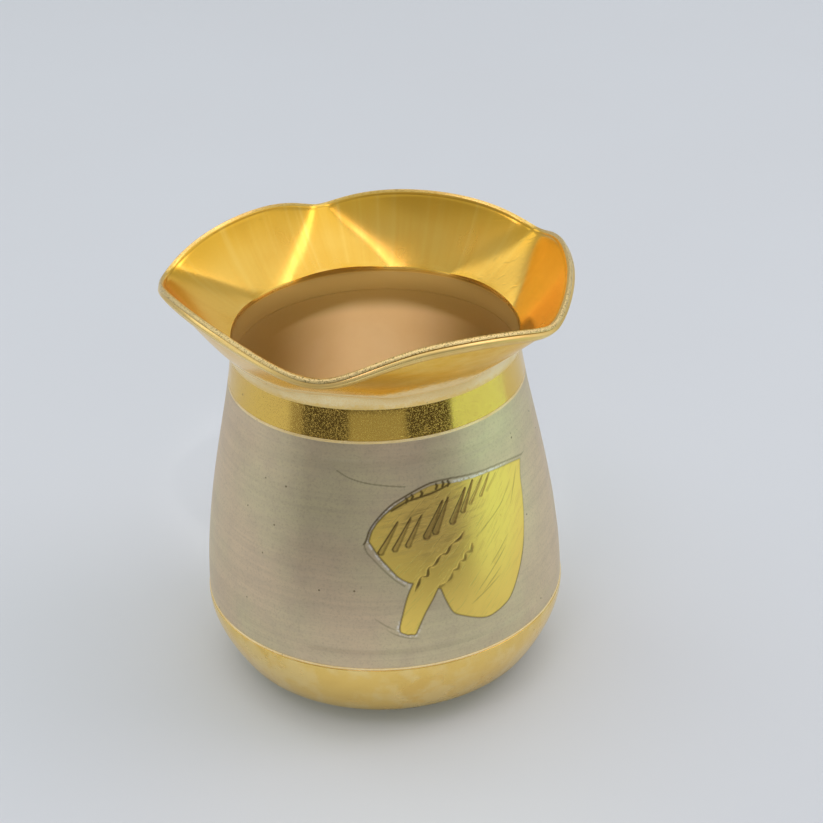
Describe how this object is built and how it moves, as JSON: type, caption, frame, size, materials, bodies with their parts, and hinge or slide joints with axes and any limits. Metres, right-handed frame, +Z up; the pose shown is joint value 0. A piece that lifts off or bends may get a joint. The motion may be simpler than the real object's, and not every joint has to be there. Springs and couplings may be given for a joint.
{
  "type": "frill-mouthed water pot",
  "caption": "Small spun brass lota with a satin tapered body, polished neck and base bands, a flared frilled mouth and an engraved leaf.",
  "frame": {"origin": "centre of the flat underside that the pot stands on", "axes": "+Z up through the mouth; -Y is the front and the engraved leaf faces the front right, between -Y and +X"},
  "size_m": [0.0668, 0.0682, 0.0726],
  "materials": {
    "polished_brass": "polished, with fine spinning lines",
    "satin_brass": "satin, grey-beige, brushed round, with a bright-cut leaf",
    "solder": "pale brazing solder, wiped smooth",
    "milled_brass": "milled edge, finely roughened"
  },
  "bodies": {
    "root": {"base_pan": "polished_brass", "base_solder": "solder", "body_wall": "satin_brass", "neck_solder": "solder", "neck_collar": "polished_brass", "lip_solder": "solder", "frilled_lip": "polished_brass", "rim_band": "milled_brass"}
  },
  "joints": []
}
